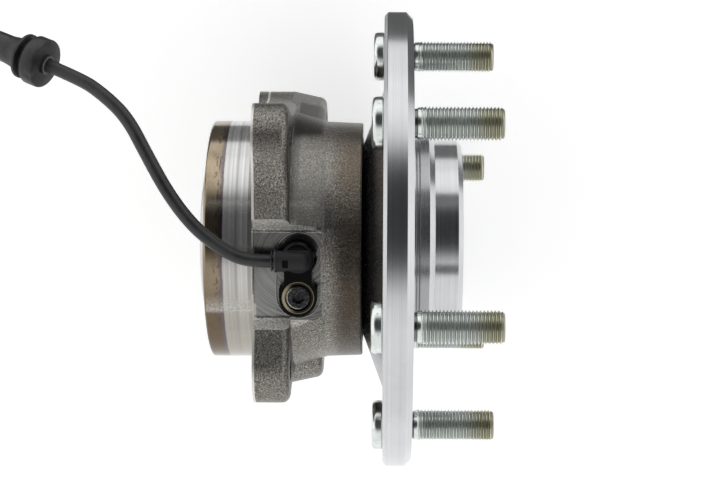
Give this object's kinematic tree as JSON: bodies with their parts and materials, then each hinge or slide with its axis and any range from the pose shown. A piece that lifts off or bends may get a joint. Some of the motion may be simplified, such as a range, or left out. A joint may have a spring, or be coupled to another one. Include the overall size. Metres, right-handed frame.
{
  "type": "wheel hub bearing",
  "caption": "Flanged wheel hub bearing unit: studded wheel flange on a sealed ball bearing in a bolt-on outer ring, with a speed sensor, its cable, grommet and plug.",
  "frame": {"origin": "centre of the outer ring's rear mounting face, on the spin axis", "axes": "+Y along the spin axis, outboard, towards the wheel; +Z towards the speed sensor; +X completes the right-handed frame"},
  "size_m": [0.1702, 0.2928, 0.1702],
  "materials": {
    "cast_steel": "as forged, machined on its seats",
    "seal_steel": "pressed sheet",
    "seal_rubber": "matte",
    "sensor_plastic": "glossy black moulding",
    "bearing_steel": "ground and polished",
    "bush_brass": "plated",
    "screw_steel": "dark zinc",
    "cable_rubber": "matte jacket",
    "grommet_rubber": "satin",
    "connector_plastic": "moulded",
    "turned_steel": "fine turned",
    "zinc_steel": "zinc plated",
    "tone_steel": "pressed",
    "cage_plastic": "glass-filled moulding"
  },
  "bodies": {
    "housing": {"outer_ring": "cast_steel", "outboard_seal_case": "seal_steel", "outboard_seal_lip": "seal_rubber", "inboard_seal_case": "seal_steel", "inboard_seal_lip": "seal_rubber", "sensor_body": "sensor_plastic", "sensor_tip": "bearing_steel", "sensor_o_ring": "seal_rubber", "sensor_bush": "bush_brass", "sensor_screw": "screw_steel", "cable_collar": "cable_rubber", "sensor_cable": "cable_rubber", "cable_grommet": "grommet_rubber", "cable_sleeve": "cable_rubber", "cable_coil": "cable_rubber", "cable_tail": "cable_rubber", "connector_seal": "grommet_rubber", "connector_shell": "connector_plastic", "connector_pins": "bush_brass", "connector_latch": "connector_plastic"},
    "hub": {"hub_flange": "turned_steel", "inner_ring": "bearing_steel", "wheel_studs": "zinc_steel", "tone_ring": "tone_steel", "inboard_slinger": "seal_steel"},
    "outboard_row": {"outboard_cage": "cage_plastic", "outboard_balls": "bearing_steel"},
    "inboard_row": {"inboard_cage": "cage_plastic", "inboard_balls": "bearing_steel"}
  },
  "joints": [
    {"name": "hub_spin", "type": "hinge", "parent": "housing", "child": "hub", "pos_m": [0, 0, 0], "axis": [0, 1, 0], "continuous": true},
    {"name": "outboard_cage_spin", "type": "hinge", "parent": "housing", "child": "outboard_row", "pos_m": [0, 0.0274, 0], "axis": [0, 1, 0], "continuous": true},
    {"name": "inboard_cage_spin", "type": "hinge", "parent": "housing", "child": "inboard_row", "pos_m": [0, -0.0038, 0], "axis": [0, 1, 0], "continuous": true}
  ],
  "couplings": [
    {"joint": "outboard_cage_spin", "follows": "hub_spin", "ratio": 0.4324},
    {"joint": "inboard_cage_spin", "follows": "hub_spin", "ratio": 0.4324}
  ]
}
